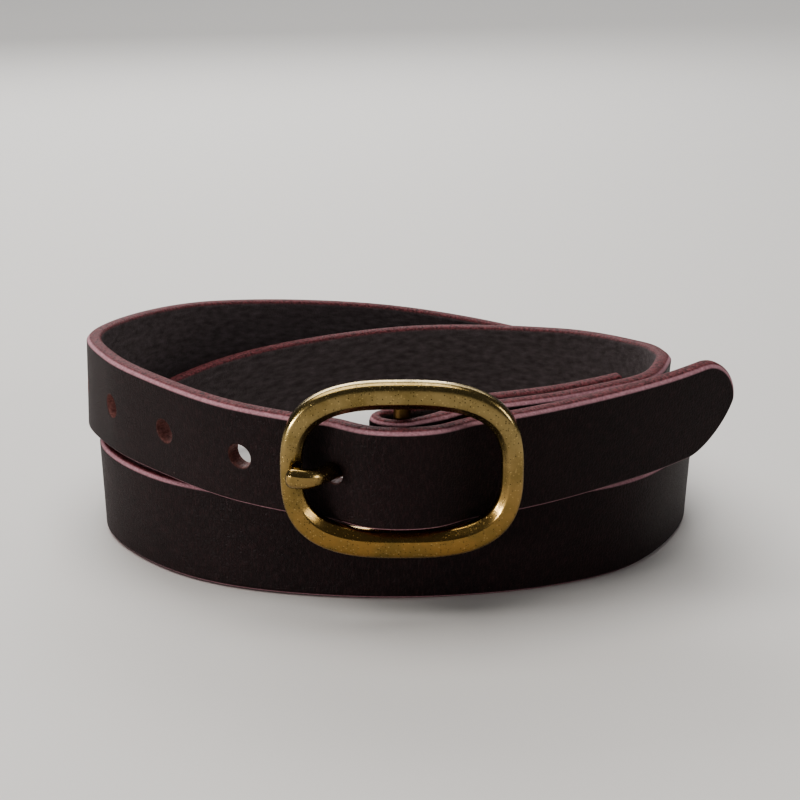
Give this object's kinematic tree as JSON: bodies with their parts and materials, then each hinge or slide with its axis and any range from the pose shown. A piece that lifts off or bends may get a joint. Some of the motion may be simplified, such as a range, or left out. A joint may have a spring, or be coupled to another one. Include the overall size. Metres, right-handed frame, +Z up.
{
  "type": "leather belt",
  "caption": "Plain dark bridle-leather dress belt with an oval brass centre-bar buckle, fastened and coiled in two turns on its edge",
  "frame": {"origin": "on the surface that the coil stands on, under the middle of the belt's bounding box", "axes": "X to the right of the buckle, Y from the buckle to the back of the coil, Z up"},
  "size_m": [0.1664, 0.1703, 0.0596],
  "materials": {
    "leather": "smooth full-grain bridle leather, very dark burgundy brown, waxed, with burnished rose-brown edges",
    "buckle_brass": "polished solid brass with fine casting specks and light wear",
    "prong_brass": "polished solid brass with fine casting specks",
    "screw_brass": "turned brass, satin"
  },
  "bodies": {
    "strap": {"strap": "leather", "post_near": "screw_brass", "post_far": "screw_brass", "screw_near": "screw_brass", "screw_far": "screw_brass"},
    "buckle": {"buckle_frame": "buckle_brass"},
    "prong": {"prong": "prong_brass"},
    "tip": {"strap_tip": "leather"}
  },
  "joints": [
    {"name": "buckle_rock", "type": "hinge", "parent": "strap", "child": "buckle", "pos_m": [0.00138, -0.07381, 0.0378], "axis": [0, -0.1045, 0.9945], "range_deg": [-2, 2]},
    {"name": "prong_lift", "type": "hinge", "parent": "buckle", "child": "prong", "pos_m": [0.00138, -0.07381, 0.0378], "axis": [0, -0.1045, 0.9945], "range_deg": [0, 3]},
    {"name": "tip_flex", "type": "hinge", "parent": "strap", "child": "tip", "pos_m": [0.03349, -0.07132, 0.03727], "axis": [-0.0436, 0.0996, -0.9941], "range_deg": [0, 35], "stiffness_Nm_per_rad": 0.05}
  ]
}
